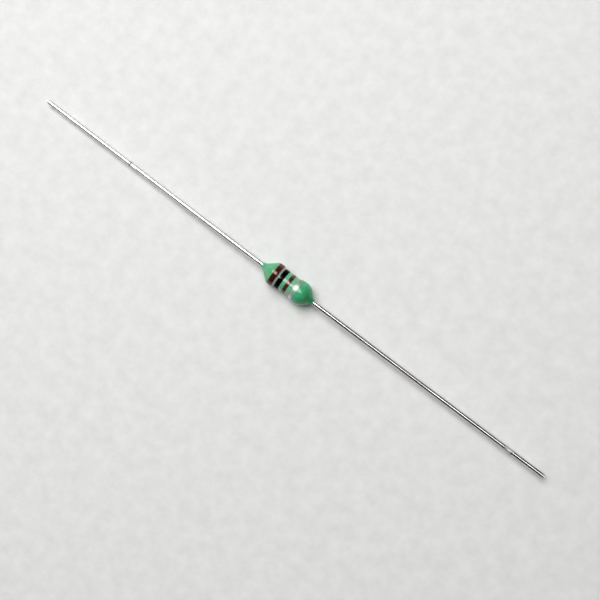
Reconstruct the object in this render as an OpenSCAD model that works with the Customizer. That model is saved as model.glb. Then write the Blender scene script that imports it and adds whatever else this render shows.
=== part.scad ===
// Axial inductor: a wound ferrite drum core with two glued-in wire leads,
// sealed in a dog-bone coat of resin with four painted colour bands.
// It lies on its two bulbs, with the body's axis along X and the table at Z = 0.
// The first colour band is towards the left end, -X.

/* [Ferrite core] */
// Length of the core over its two flanges
core_l = 3.8; // [3.4:0.1:4.6]
// Diameter of the flanges
flange_d = 2.1; // [2:0.02:2.3]
// Thickness of each flange
flange_w = 0.55; // [0.4:0.05:0.7]
// Diameter of the spindle that carries the wire
spindle_d = 1.1; // [0.9:0.05:1.3]
// Depth of the socket in each end that takes a lead
socket_depth = 0.8; // [0.5:0.05:1.2]
// Width of the slot in each flange's rim that lets the wire out
slot_w = 0.24; // [0.16:0.02:0.4]
// Depth of that slot's floor below the outside of the coil
slot_below_coil = 0.19; // [0.16:0.01:0.24]

/* [Winding] */
// Diameter of the enamelled wire
wire_d = 0.08; // [0.06:0.01:0.1]
// Diameter over the finished coil
coil_d = 1.84; // [1.7:0.02:1.9]
// Space between one turn and the next
turn_gap = 0.01; // [0.005:0.005:0.04]
// Turns that each wire end makes around its lead
wraps = 4; // [2:1:5]
// Advance of each of those turns along the lead
wrap_pitch = 0.1; // [0.1:0.01:0.12]

/* [Leads] */
// Diameter of the tinned lead wire
lead_d = 0.5; // [0.4:0.02:0.6]
// Length of the left lead outside the resin
left_lead_l = 28.7; // [20:0.1:34]
// Length of the right lead outside the resin
right_lead_l = 28.5; // [20:0.1:34]
// Radius of the slight bends in the leads
bend_r = 12; // [6:1:20]
// Straight length of lead between the resin and its first bend
bend_at = 0.4; // [0.2:0.1:1]
// Angle by which the left lead droops where it leaves the body
left_droop = 2; // [0.5:0.1:2.2]
// Angle by which the left lead straightens again at its jaw mark
left_rise = 1.1; // [0.4:0.1:1.6]
// Angle by which the left lead swings sideways
left_swing = 0.2; // [0.1:0.1:0.6]
// Angle by which the right lead droops where it leaves the body
right_droop = 0.6; // [0.3:0.1:1.2]
// Angle by which the right lead rises again at its jaw mark
right_rise = 1.2; // [0.6:0.1:2]

/* [Jaw marks] */
// Distance from the left tip to the middle of its jaw mark
left_mark_at = 11.5; // [8:0.1:14]
// Distance from the right tip to the middle of its jaw mark
right_mark_at = 4.1; // [3:0.1:8]
// Length that the jaws pressed on the left lead
left_mark_l = 1.1; // [0.6:0.1:2]
// Length that the jaws pressed on the right lead
right_mark_l = 1.1; // [0.6:0.1:1.6]
// Depth of the pressed flats
mark_depth = 0.02; // [0.01:0.005:0.05]
// Width of the nick left by the edge of a jaw
nick_w = 0.12; // [0.08:0.02:0.2]

/* [Glue and solder] */
// Thickness of the glue around a lead in its socket
glue_t = 0.05; // [0.03:0.01:0.1]
// Thickness of the glue under the lead's inner end
glue_end = 0.1; // [0.05:0.01:0.2]
// Thickness of the solder over the wraps
solder_t = 0.07; // [0.05:0.01:0.09]
// Length of the solder's slope down to the lead
solder_toe = 0.16; // [0.1:0.02:0.24]

/* [Resin coat] */
// Thickness of the resin over the flanges
coat_over_flange = 0.2; // [0.16:0.02:0.3]
// Thickness of the resin over the coil
coat_over_coil = 0.18; // [0.1:0.02:0.22]
// Thickness of the resin out from the left flange's corner, square to the axis
left_corner_cover = 0.17; // [0.12:0.01:0.19]
// Thickness of the resin out from the right flange's corner, square to the axis
right_corner_cover = 0.44; // [0.3:0.01:0.5]
// Slope of the left nose
left_nose_angle = 40; // [38:1:50]
// Slope of the right nose
right_nose_angle = 45; // [42:1:50]
// Thickness of the resin's edge on the lead
lip_t = 0.03; // [0.02:0.01:0.05]
// Length over which the left nose runs out onto the lead
left_neck_l = 0.19; // [0.15:0.01:0.3]
// Length over which the right nose runs out onto the lead
right_neck_l = 0.15; // [0.12:0.01:0.3]
// Radius of the left bulb's outer shoulder
left_shoulder_r = 0.25; // [0.15:0.05:0.35]
// Radius of the right bulb's outer shoulder
right_shoulder_r = 1.2; // [0.8:0.05:1.3]
// Length of the left bulb inwards of the core's end, before it falls to the waist
left_bulb_l = 0.55; // [0.4:0.05:0.7]
// Length of the right bulb inwards of the core's end, before it falls to the waist
right_bulb_l = 0.4; // [0.3:0.05:0.5]
// Length of the fall from the left bulb to the waist
left_fall_l = 0.35; // [0.35:0.05:0.6]
// Length of the fall from the right bulb to the waist
right_fall_l = 0.8; // [0.6:0.05:0.9]

/* [Colour bands] */
// Thickness of the paint
paint_t = 0.02; // [0.01:0.005:0.03]
// Distance from the core's left end to the first band
band_inset = 0.22; // [0.06:0.02:0.3]
// Width of the first and second bands
digit_band_w = 0.48; // [0.4:0.02:0.54]
// Width of the multiplier band
multiplier_band_w = 0.36; // [0.3:0.02:0.5]
// Width of the tolerance band
tolerance_band_w = 0.34; // [0.26:0.02:0.5]
// Gap between the first and second bands
digit_band_gap = 0.26; // [0.14:0.02:0.3]
// Gap before the multiplier band
multiplier_band_gap = 0.44; // [0.3:0.02:0.5]
// Gap before the tolerance band
tolerance_band_gap = 0.54; // [0.4:0.02:0.6]

/* [Hidden] */

$fn = 48;
arc_steps = 8;      // straight steps in each arc of the coat's outline
wire_sides = 8;     // sides of the thin wire's two ends
wrap_steps = 14;    // straight steps in each turn around a lead
elbow_steps = 3;    // straight steps in the bend over the flange's edge
clear = 0.01;       // space left between a wire end and what it passes

// core
flange_r = flange_d / 2;
spindle_r = spindle_d / 2;
core_end = core_l / 2;
flange_inner = core_end - flange_w;

// leads and their sockets
lead_r = lead_d / 2;
socket_r = lead_r + glue_t;
socket_floor = core_end - socket_depth;
lead_inner_end = socket_floor + glue_end;

// coil, and the wire's two ends
wire_r = wire_d / 2;
coil_r = coil_d / 2;
pitch = wire_d + turn_gap;
turns = floor(2 * flange_inner / pitch);
slot_floor_r = coil_r - slot_below_coil;
tail_r = slot_floor_r + clear + wire_r;         // height of a wire end in its slot
tail_x = core_end + clear + wire_r;             // where it runs down the flange's face
tail_root = flange_inner - 2 * wire_d;          // where it starts, inside the coil
elbow_r = 2 * wire_r;
wrap_r = lead_r + clear + wire_r;
wrap_start = acos(wrap_r / tail_r);             // roll angle at which it meets the lead
wraps_end = tail_x + wraps * wrap_pitch + wire_r + clear;

// solder over the wraps
solder_bore_r = wrap_r + wire_r + clear;
solder_r = solder_bore_r + solder_t;
solder_start = tail_x + wrap_pitch + wire_r;
solder_end = wraps_end + solder_toe;

// resin coat
crest_r = flange_r + coat_over_flange;
waist_r = coil_r + coat_over_coil;
lip_r = lead_r + lip_t;
left_knee = core_end + (flange_r + left_corner_cover - lip_r) / tan(left_nose_angle);
right_knee = core_end + (flange_r + right_corner_cover - lip_r) / tan(right_nose_angle);
left_exit = left_knee + left_neck_l;
right_exit = right_knee + right_neck_l;
axis_h = crest_r + paint_t;                     // height of the body's axis over the table

// places of the colour bands along the body
first_x = -core_end + band_inset;
second_x = first_x + digit_band_w + digit_band_gap;
multiplier_x = second_x + digit_band_w + multiplier_band_gap;
tolerance_x = multiplier_x + multiplier_band_w + tolerance_band_gap;

// ---- helpers ----

function arc(centre, r, from, to) =
    [for (i = [0:arc_steps]) let (a = from + (to - from) * i / arc_steps)
        centre + r * [cos(a), sin(a)]];

function mirrored(points) = [for (i = [len(points) - 1:-1:0]) [-points[i].x, points[i].y]];

// Turns a section drawn as [distance along the axis, radius] about the body's axis.
module turned() {
    translate([0, 0, axis_h]) rotate([0, 90, 0]) rotate_extrude() mirror([1, -1]) children();
}

// Places what is drawn with Z outwards and X downwards at the right end of the body.
module at_right() { translate([0, 0, axis_h]) rotate([0, 90, 0]) children(); }

// The same at the left end, by half a turn about the vertical.
module at_left() { rotate([0, 0, 180]) at_right() children(); }

// ---- resin coat and its colour bands ----

// The outline of one end, from the lead in to the waist, grown outwards by g:
// neck, shoulder, edge of the bulb, and the hollow that runs into the waist.
function end_outline(g, nose_angle, knee, neck_l, shoulder_r, bulb_l, fall_l) =
    let (neck_r = neck_l / tan(nose_angle / 2),
         crest_end = knee - (crest_r - lip_r) / tan(nose_angle),
         shoulder_at = crest_end - shoulder_r * tan(nose_angle / 2),
         fall_h = crest_r - waist_r,
         fall_r = (fall_l * fall_l + fall_h * fall_h) / (4 * fall_h),
         fall_angle = asin(fall_l / (2 * fall_r)),
         fall_at = core_end - bulb_l)
    concat(
        arc([knee + neck_l, lip_r + neck_r], neck_r - g, 270, 270 - nose_angle),
        arc([shoulder_at, crest_r - shoulder_r], shoulder_r + g, 90 - nose_angle, 90),
        arc([fall_at, crest_r - fall_r], fall_r + g, 90, 90 + fall_angle),
        arc([fall_at - fall_l, waist_r + fall_r], fall_r - g, 270 + fall_angle, 270));

module body_section(g = 0) {
    right = end_outline(g, right_nose_angle, right_knee, right_neck_l, right_shoulder_r,
                        right_bulb_l, right_fall_l);
    left = end_outline(g, left_nose_angle, left_knee, left_neck_l, left_shoulder_r,
                       left_bulb_l, left_fall_l);
    polygon(concat([[-left_exit, 0], [right_exit, 0]], right, mirrored(left)));
}

// What the resin closes around: leads, solder, flanges and coil.
module insides_section() {
    side = [[2 * right_exit, 0], [2 * right_exit, lead_r], [solder_end, lead_r],
            [wraps_end, solder_r], [solder_start, solder_r], [solder_start, solder_bore_r],
            [core_end, solder_bore_r], [core_end, flange_r], [flange_inner, flange_r],
            [flange_inner, coil_r]];
    polygon(concat(side, mirrored(side)));
}

// The channel in the resin around a wire end that runs down the flange's face.
module wire_channel() {
    half_w = wire_r + clear;
    run = tail_r * sin(wrap_start) - half_w;
    translate([-tail_r, 0, tail_x + half_w]) rotate([0, 0, 90 - wrap_start])
        translate([-half_w, -half_w, -flange_w])
            cube([half_w + run, 2 * half_w, flange_w]);
}

module epoxy_coating() {
    color([0.24, 0.66, 0.46]) difference() {
        turned() difference() { body_section(); insides_section(); }
        at_right() wire_channel();
        at_left() wire_channel();
    }
}

// A ring of paint that follows the coat's outline.
module band(from, width) {
    turned() intersection() {
        difference() { body_section(paint_t); body_section(); }
        translate([from, 0]) square([width, 2 * crest_r]);
    }
}

module band_first() { color([0.27, 0.06, 0.03]) band(first_x, digit_band_w); }
module band_second() { color([0.03, 0.03, 0.04]) band(second_x, digit_band_w); }
module band_multiplier() { color([0.33, 0.1, 0.04]) band(multiplier_x, multiplier_band_w); }
module band_tolerance() { color([0.78, 0.79, 0.8]) band(tolerance_x, tolerance_band_w); }

// ---- core and winding ----

// The slot at the top of a flange's rim.
module rim_slot() {
    translate([-flange_d, -slot_w / 2, flange_inner - flange_w / 2])
        cube([flange_d - slot_floor_r, slot_w, 2 * flange_w]);
}

module drum_core() {
    side = [[socket_floor, 0], [socket_floor, socket_r], [core_end, socket_r],
            [core_end, flange_r], [flange_inner, flange_r], [flange_inner, spindle_r]];
    color([0.2, 0.19, 0.19]) difference() {
        turned() polygon(concat(side, mirrored(side)));
        at_right() rim_slot();
        at_left() rim_slot();
    }
}

// The path of one wire end: out through the slot, down the flange's face
// and around the lead. The wire meets the lead along a tangent.
function wire_path() =
    let (down = [sin(wrap_start), cos(wrap_start), 0], top = [-tail_r, 0, tail_x - elbow_r])
    concat(
        [[-tail_r, 0, tail_root]],
        [for (i = [0:elbow_steps]) let (a = 90 * i / elbow_steps)
            top + elbow_r * ((1 - cos(a)) * down + [0, 0, sin(a)])],
        [for (i = [0:wraps * wrap_steps]) let (a = wrap_start + 360 * i / wrap_steps)
            [-wrap_r * cos(a), wrap_r * sin(a), tail_x + wrap_pitch * i / wrap_steps]]);

function unit(v) = v / norm(v);

// The direction of the wire at point i of its path.
function heading(path, i) =
    unit(path[min(i + 1, len(path) - 1)] - path[max(i - 1, 0)]);

// Sides of the wire's section, carried along the path without twisting it.
function side_directions(path, first) =
    [for (i = 0, s = first; i < len(path);
          i = i + 1, s = i < len(path) ? unit(s - (s * heading(path, i)) * heading(path, i)) : s) s];

module sweep_wire(path, r) {
    n = wire_sides;
    last = len(path) - 1;
    across = side_directions(path, [0, 1, 0]);
    points = [for (i = [0:last]) let (up = cross(heading(path, i), across[i]))
        for (k = [0:n - 1]) path[i] + r * (cos(360 * k / n) * across[i] + sin(360 * k / n) * up)];
    walls = [for (i = [0:last - 1], k = [0:n - 1]) let (next = (k + 1) % n)
        [i * n + k, (i + 1) * n + k, (i + 1) * n + next, i * n + next]];
    polyhedron(points, concat([[for (k = [0:n - 1]) k]], walls,
                              [[for (k = [n - 1:-1:0]) last * n + k]]));
}

module coil() {
    turned() {
        translate([-flange_inner, spindle_r])
            square([2 * flange_inner, coil_r - wire_r - spindle_r]);
        for (i = [0:turns - 1])
            translate([(i - (turns - 1) / 2) * pitch, coil_r - wire_r]) circle(wire_r, $fn = 24);
    }
}

module winding() {
    color([0.72, 0.32, 0.14]) {
        coil();
        at_right() sweep_wire(wire_path(), wire_r);
        at_left() sweep_wire(wire_path(), wire_r);
    }
}

// ---- leads, glue and solder ----

// A straight stretch of lead, with what follows it at its far end.
module straight(l) {
    cylinder(h = l, r = lead_r);
    translate([0, 0, l]) children();
}

// A slight bend of the lead: heading 0 is downwards, 180 upwards, 90 and -90 to the sides.
module bend(angle, heading) {
    rotate([0, 0, heading]) {
        translate([bend_r, 0, 0]) rotate([-90, 0, 0])
            rotate_extrude(angle = angle, start = 180) translate([bend_r, 0]) circle(lead_r);
        translate([bend_r * (1 - cos(angle)), 0, bend_r * sin(angle)]) rotate([0, angle, 0])
            rotate([0, 0, -heading]) children();
    }
}

// A stretch that jaws have pressed: a flat above and below, and a nick at its outer edge.
module pressed(l) {
    difference() {
        cylinder(h = l, r = lead_r);
        for (side = [-1, 1])
            translate([side * (lead_d - mark_depth), 0, l / 2])
                cube([lead_d, lead_d, l - nick_w], center = true);
        translate([-lead_r + mark_depth, 0, l - nick_w])
            rotate([90, 0, 0]) cylinder(h = lead_d, r = nick_w / 2, $fn = 4, center = true);
    }
    translate([0, 0, l]) children();
}

// The length of lead that some bends use up.
function bends_l(angles) = bend_r * angles * PI / 180;

// A lead beyond its slight bend or bends outside the resin: the long run,
// the stretch pressed by jaws, the bend made there, and the straight tip.
module outer_lead(lead_l, angles_before, rise, mark_at, mark_l) {
    straight(lead_l - bend_at - bends_l(angles_before + rise) - mark_at - mark_l / 2)
        pressed(mark_l) bend(rise, 180) straight(mark_at - mark_l / 2);
}

module lead_left() {
    color([0.82, 0.82, 0.83]) at_left() translate([0, 0, lead_inner_end])
        straight(left_exit + bend_at - lead_inner_end)
        bend(left_droop, 0) bend(left_swing, -90)
        outer_lead(left_lead_l, left_droop + left_swing, left_rise, left_mark_at, left_mark_l);
}

module lead_right() {
    color([0.82, 0.82, 0.83]) at_right() translate([0, 0, lead_inner_end])
        straight(right_exit + bend_at - lead_inner_end)
        bend(right_droop, 0)
        outer_lead(right_lead_l, right_droop, right_rise, right_mark_at, right_mark_l);
}

module glue() {
    color([0.85, 0.75, 0.5]) rotate_extrude()
        polygon([[0, socket_floor], [socket_r, socket_floor], [socket_r, core_end],
                 [lead_r, core_end], [lead_r, lead_inner_end], [0, lead_inner_end]]);
}

module glue_left() { at_left() glue(); }
module glue_right() { at_right() glue(); }

module solder() {
    color([0.7, 0.71, 0.73]) rotate_extrude()
        polygon([[solder_bore_r, solder_start], [solder_r, solder_start], [solder_r, wraps_end],
                 [lead_r, solder_end], [lead_r, wraps_end], [solder_bore_r, wraps_end]]);
}

module solder_left() { at_left() solder(); }
module solder_right() { at_right() solder(); }

epoxy_coating();
band_first();
band_second();
band_multiplier();
band_tolerance();
drum_core();
winding();
lead_left();
lead_right();
solder_left();
solder_right();
glue_left();
glue_right();
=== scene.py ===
# %% [markdown]
# # An axial inductor on white paper
#
# An axial inductor is a coil of thin copper wire on a small ferrite drum. A straight lead is
# glued into each end of the drum, and the whole is coated with green resin, which settles
# into the shape of a dog's bone. Four painted rings give its value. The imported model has
# every piece as a plain solid. This lesson gives the pieces that are seen, and the coil, a
# finer mesh of the same form, and it gives every piece a finish.

# %% Load the frame
import math
import bmesh
import bpy
from mathutils import Matrix, Vector


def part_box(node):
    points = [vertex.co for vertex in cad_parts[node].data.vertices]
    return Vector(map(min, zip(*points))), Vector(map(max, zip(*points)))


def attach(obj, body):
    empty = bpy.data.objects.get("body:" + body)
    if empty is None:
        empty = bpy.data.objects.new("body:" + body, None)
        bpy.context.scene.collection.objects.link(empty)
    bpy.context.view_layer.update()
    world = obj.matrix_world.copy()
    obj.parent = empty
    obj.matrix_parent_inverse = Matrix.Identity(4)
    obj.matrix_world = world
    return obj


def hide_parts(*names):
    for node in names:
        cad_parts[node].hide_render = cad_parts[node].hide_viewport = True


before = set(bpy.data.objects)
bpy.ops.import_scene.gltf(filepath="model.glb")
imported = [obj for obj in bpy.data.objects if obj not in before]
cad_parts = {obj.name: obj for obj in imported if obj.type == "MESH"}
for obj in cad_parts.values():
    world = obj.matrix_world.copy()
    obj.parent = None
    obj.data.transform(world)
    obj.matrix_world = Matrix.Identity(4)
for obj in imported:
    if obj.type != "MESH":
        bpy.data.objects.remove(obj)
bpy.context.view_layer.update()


print("nodes:", ", ".join(sorted(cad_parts)))

# %% [markdown]
# ## Sizes
#
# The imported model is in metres, and a part this small is easier to think about in
# millimetres, so one name turns one into the other. The main places are read from the boxes
# of the nodes: the body's axis runs at half the height of the coat's box, and the leads come
# out at the ends of that box. The radii are those of the lead, the crests of the bulbs, the
# core's flanges, the coil and the waist. The thicknesses are those of a flange and the paint.

# %% Read the main sizes
MM = 0.001
COAT_LOW, COAT_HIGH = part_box("epoxy_coating")
AXIS_H = (COAT_LOW[2] + COAT_HIGH[2]) / 2
LEFT_EXIT = -COAT_LOW[0]
RIGHT_EXIT = COAT_HIGH[0]
BODY_L = RIGHT_EXIT + LEFT_EXIT
CORE_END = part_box("drum_core")[1][0]
FLANGE_T = 0.55 * MM
FLANGE_INNER = CORE_END - FLANGE_T
LEAD_R = 0.25 * MM
CREST_R = 1.25 * MM
FLANGE_R = 1.05 * MM
COIL_R = 0.92 * MM
WAIST_R = 1.10 * MM
PAINT_T = 0.02 * MM
print(f"axis {AXIS_H / MM:.3f} mm over the paper, body {BODY_L / MM:.2f} mm long")

# %% [markdown]
# ## A helper for node trees
#
# Geometry Nodes and shader groups are both node trees, so one small helper builds both. It
# adds a node, sets its properties, and fills its sockets with plain values or with the
# sockets of other nodes. Sums are frequent, so they get helpers of their own.

# %% Node tree helpers
def add(tree, kind, inputs=None, **settings):
    """Adds a node. A value in inputs may be a number, a colour or another node's socket."""
    node = tree.nodes.new(kind)
    for key, value in settings.items():
        setattr(node, key, value)
    for key, value in (inputs or {}).items():
        if isinstance(value, bpy.types.NodeSocket):
            tree.links.new(value, node.inputs[key])
        else:
            node.inputs[key].default_value = value
    return node


def calc(tree, operation, *values):
    """A Math node on up to three numbers or sockets, as its output socket."""
    return add(tree, "ShaderNodeMath", dict(enumerate(values)), operation=operation).outputs[0]


def vector(tree, x, y, z):
    return add(tree, "ShaderNodeCombineXYZ", {"X": x, "Y": y, "Z": z}).outputs[0]


def split(tree, socket):
    return add(tree, "ShaderNodeSeparateXYZ", {"Vector": socket}).outputs


def object_place(tree):
    """The x, y and z of the point that is being worked on, in metres."""
    return split(tree, add(tree, "ShaderNodeTexCoord").outputs["Object"])


def new_tree(name, kind, inputs, outputs):
    """A node tree whose interface is given as (name, socket type, default) rows."""
    tree = bpy.data.node_groups.new(name, kind)
    for row in inputs:
        socket = tree.interface.new_socket(row[0], in_out="INPUT", socket_type=row[1])
        if len(row) > 2:
            socket.default_value = row[2]
    for row in outputs:
        tree.interface.new_socket(row[0], in_out="OUTPUT", socket_type=row[1])
    return tree, tree.nodes.new("NodeGroupInput"), tree.nodes.new("NodeGroupOutput")


print("tree helpers: add, calc, vector, split, object_place, new_tree")

# %% [markdown]
# ## From a node tree to a plain mesh
#
# A Geometry Nodes modifier is live: its mesh exists only while it is evaluated. Other
# programs want plain meshes, so each piece is evaluated once and its result is kept. The
# modifier's inputs are set by the socket's identifier, because names may repeat. Marks that
# only the tree reads are taken off the result.

# %% Evaluate a tree once and keep its mesh
SHARP_ANGLE = math.radians(38)
SEED_MARKS = ("girth", "top", "under", "side")


def set_inputs(modifier, values):
    """Fills the modifier's inputs, found by their names in the tree's interface."""
    for item in modifier.node_group.interface.items_tree:
        if item.item_type == "SOCKET" and item.in_out == "INPUT" and item.name in values:
            modifier[item.identifier] = values[item.name]


def faces_outwards(mesh):
    """Turns a closed mesh whose faces point inwards."""
    work = bmesh.new()
    work.from_mesh(mesh)
    if work.calc_volume(signed=True) < 0:
        bmesh.ops.reverse_faces(work, faces=work.faces)
    work.to_mesh(mesh)
    work.free()


def make_piece(name, seed_mesh, tree, values):
    """Runs the tree on the seed mesh and links the result as a plain mesh object."""
    seed = bpy.data.objects.new(name + ".seed", seed_mesh)
    bpy.context.collection.objects.link(seed)
    modifier = seed.modifiers.new("Make", "NODES")
    modifier.node_group = tree
    set_inputs(modifier, values)
    depsgraph = bpy.context.evaluated_depsgraph_get()
    mesh = bpy.data.meshes.new_from_object(seed.evaluated_get(depsgraph))
    bpy.data.objects.remove(seed)
    bpy.data.meshes.remove(seed_mesh)
    mesh.name = name
    for mark in SEED_MARKS:
        if mark in mesh.attributes:
            mesh.attributes.remove(mesh.attributes[mark])
    faces_outwards(mesh)
    mesh.set_sharp_from_angle(angle=SHARP_ANGLE)
    piece = bpy.data.objects.new(name, mesh)
    bpy.context.collection.objects.link(piece)
    print(f"{name}: {len(mesh.polygons)} faces")
    return piece


print("edges sharper than", round(math.degrees(SHARP_ANGLE)), "degrees stay sharp")


# %% The end that every tree shares
def end_tree(tree, geometry, material, result):
    """Smooth faces, real geometry and a material, as the last steps of a tree."""
    smooth = add(tree, "GeometryNodeSetShadeSmooth", {"Geometry": geometry})
    real = add(tree, "GeometryNodeRealizeInstances", {"Geometry": smooth.outputs[0]})
    dressed = add(tree, "GeometryNodeSetMaterial",
                  {"Geometry": real.outputs[0], "Material": material})
    tree.links.new(dressed.outputs[0], result.inputs["Piece"])


print("every tree ends in: shade smooth, realize instances, set material")

# %% [markdown]
# ## Shader groups
#
# Several finishes share an effect. Resin, paint and solder set with a soft unevenness, like
# the skin of an orange. Drawn wire, tinned or enamelled, carries fine lines along its length.
# Resin, lacquer and ferrite hold specks: dust, metal flakes and grains. Each effect is one
# group that gives out masks, and every material uses them with its own values.

# %% Group: the uneven skin of something that has flowed and set
def build_uneven_skin():
    tree, source, result = new_tree(
        "Uneven skin", "ShaderNodeTree",
        [("Lump size", "NodeSocketFloat", 0.6 * MM), ("Grain size", "NodeSocketFloat", 0.1 * MM)],
        [("Lumps", "NodeSocketFloat"), ("Grain", "NodeSocketFloat")])
    where = add(tree, "ShaderNodeTexCoord").outputs["Object"]
    for size, name, detail in (("Lump size", "Lumps", 2.0), ("Grain size", "Grain", 4.0)):
        scale = calc(tree, "DIVIDE", 1.0, source.outputs[size])
        noise = add(tree, "ShaderNodeTexNoise",
                    {"Vector": where, "Scale": scale, "Detail": detail, "Roughness": 0.55})
        tree.links.new(noise.outputs["Fac"], result.inputs[name])
    return tree


UNEVEN_SKIN = build_uneven_skin()
print("group:", UNEVEN_SKIN.name)


# %% Group: the fine lines of drawn wire
def build_drawn_lines():
    tree, source, result = new_tree(
        "Drawn lines", "ShaderNodeTree",
        [("Line width", "NodeSocketFloat", 0.03 * MM), ("Line length", "NodeSocketFloat", 3 * MM)],
        [("Lines", "NodeSocketFloat"), ("Haze", "NodeSocketFloat")])
    x, y, z = object_place(tree)
    along = calc(tree, "DIVIDE", x, source.outputs["Line length"])
    across = [calc(tree, "DIVIDE", v, source.outputs["Line width"]) for v in (y, z)]
    lines = add(tree, "ShaderNodeTexNoise",
                {"Vector": vector(tree, along, *across), "Scale": 1.0, "Detail": 3.0})
    slow = [calc(tree, "DIVIDE", v, source.outputs["Line length"]) for v in (x, y, z)]
    pale_band = add(tree, "ShaderNodeTexNoise",
               {"Vector": vector(tree, *slow), "Scale": 2.5, "Detail": 5.0})
    tree.links.new(lines.outputs["Fac"], result.inputs["Lines"])
    tree.links.new(pale_band.outputs["Fac"], result.inputs["Haze"])
    return tree


DRAWN_LINES = build_drawn_lines()
print("group:", DRAWN_LINES.name)


# %% Group: specks
EMPTY_CELLS = 0.55


def build_specks():
    """Dots in scattered cells. EMPTY_CELLS is the share of the cells that hold none."""
    tree, source, result = new_tree(
        "Specks", "ShaderNodeTree",
        [("Spacing", "NodeSocketFloat", 0.5 * MM), ("Size", "NodeSocketFloat", 0.06)],
        [("Specks", "NodeSocketFloat")])
    where = add(tree, "ShaderNodeTexCoord").outputs["Object"]
    scale = calc(tree, "DIVIDE", 1.0, source.outputs["Spacing"])
    cells = add(tree, "ShaderNodeTexVoronoi", {"Vector": where, "Scale": scale})
    inside = calc(tree, "LESS_THAN", cells.outputs["Distance"], source.outputs["Size"])
    few = calc(tree, "GREATER_THAN", split(tree, cells.outputs["Color"])[0], EMPTY_CELLS)
    tree.links.new(calc(tree, "MULTIPLY", inside, few), result.inputs["Specks"])
    return tree


SPECKS = build_specks()
print("group:", SPECKS.name)

# %% [markdown]
# ## Material helpers
#
# Every material is one Principled BSDF. What is the same all over is set on the shader
# itself. What varies comes from a group through a ramp, a range or a bump.

# %% Make a material and place a group in it
def new_material(name, **shader_values):
    """A material, its tree and its shader, whose sockets take the values by name."""
    material = bpy.data.materials.new(name)
    material.use_nodes = True
    tree = material.node_tree
    shader = tree.nodes["Principled BSDF"]
    for key, value in shader_values.items():
        shader.inputs[key.replace("_", " ")].default_value = value
    return material, tree, shader


def use_group(tree, group, **values):
    """Places a group with its own values and gives back its outputs."""
    node = add(tree, "ShaderNodeGroup", node_tree=group)
    for key, value in values.items():
        node.inputs[key.replace("_", " ")].default_value = value
    return node.outputs


print("material helpers: new_material, use_group")


# %% Turn a mask into a colour, a range or a mix
def ramp(tree, socket, *stops):
    """A colour ramp through (place, colour) stops."""
    node = add(tree, "ShaderNodeValToRGB", {"Fac": socket})
    while len(node.color_ramp.elements) < len(stops):
        node.color_ramp.elements.new(0.5)
    for element, (place, colour) in zip(node.color_ramp.elements, stops):
        element.position = place
        element.color = (*colour, 1.0)
    return node.outputs["Color"]


def spread(tree, socket, low, high, from_low=0.3, from_high=0.7):
    """Stretches a mask to the range that a socket such as Roughness wants."""
    return add(tree, "ShaderNodeMapRange",
               {"Value": socket, "From Min": from_low, "From Max": from_high,
                "To Min": low, "To Max": high}).outputs["Result"]


def two_tone(tree, mask, pair, low=0.3, high=0.7):
    """From a dark to a light colour, over the stretch that a noise really fills."""
    return ramp(tree, mask, (low, pair[0]), (high, pair[1]))


def opaque(colour):
    """A colour with its alpha added. A socket stays as it is."""
    return colour if isinstance(colour, bpy.types.NodeSocket) else (*colour, 1.0)


def blend(tree, factor, first, second):
    """Mixes two colours or masks. Sockets 0, 6 and 7 are the factor, A and B."""
    return add(tree, "ShaderNodeMix", {0: factor, 6: opaque(first), 7: opaque(second)},
               data_type="RGBA").outputs[2]


print("mask helpers: ramp, spread, two_tone, blend")


# %% Feed the shader
def set_colour(tree, shader, colour):
    """Lets a colour that varies over the surface be the base colour."""
    tree.links.new(colour, shader.inputs["Base Color"])


def set_roughness(tree, shader, mask, low, high):
    """Lets a mask carry the roughness from low to high."""
    tree.links.new(spread(tree, mask, low, high), shader.inputs["Roughness"])


def bump(tree, shader, height, depth, strength=1.0):
    """Feeds a height mask to the shader's normal. depth is the mask's full height in metres."""
    node = add(tree, "ShaderNodeBump",
               {"Height": height, "Distance": depth, "Strength": strength})
    tree.links.new(node.outputs["Normal"], shader.inputs["Normal"])


MATERIALS = {}
print("shader helpers: set_colour, set_roughness, bump")

# %% [markdown]
# ## Green resin
#
# The coat is epoxy powder that was melted on to the part. It dries glossy, with a soft
# orange-peel skin. Its green changes along the body. It is paler over the slim waist and just
# left of the silver ring: that is a painted sheen. It is deepest on the right nose: that is
# painted shade, where the nose turns away from the soft box. Painting the change on an image
# would need a UV map. A colour ramp along the body's axis does it from plain positions, and a
# slow noise and a few specks break it up. A narrow mask around the first gap blends in a
# paler, greyer green.

# %% Colours of the resin along the body
# The paler waist and the stop just left of the silver ring paint a sheen; the deep right nose
# paints shade.
GREEN_LEFT = (0.100, 0.440, 0.205)
GREEN_WAIST = (0.135, 0.465, 0.250)
GREEN_SHEEN = (0.185, 0.480, 0.275)
GREEN_CREST = (0.085, 0.440, 0.205)
GREEN_BULB = (0.055, 0.425, 0.195)
GREEN_NOSE_SHADE = (0.038, 0.315, 0.115)
PALE_GREEN = (0.300, 0.400, 0.310)
GREEN_STOPS = (
    (-1.9 * MM, GREEN_LEFT), (-0.9 * MM, GREEN_WAIST), (0.3 * MM, GREEN_WAIST),
    (0.7 * MM, GREEN_SHEEN), (1.3 * MM, GREEN_CREST), (1.7 * MM, GREEN_BULB),
    (2.5 * MM, GREEN_NOSE_SHADE),
)


def share(x):
    """A place along the body as a share of its length, from the left."""
    return (x + LEFT_EXIT) / BODY_L


print("green changes at:", [round(share(place), 2) for place, _ in GREEN_STOPS])

# %% Material: green resin
# A narrow band around the first gap is blended towards a paler, greyer green.
PALE_AT = -1.07 * MM
PALE_FULL = 0.10 * MM
PALE_GONE = 0.22 * MM
PALE_STRENGTH = 0.9
SHADES = (0.85, 1.12)
SPECK_SHADE = 0.2
PEEL_DEPTH = 0.02 * MM
PEEL_GRAIN = 0.12


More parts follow.
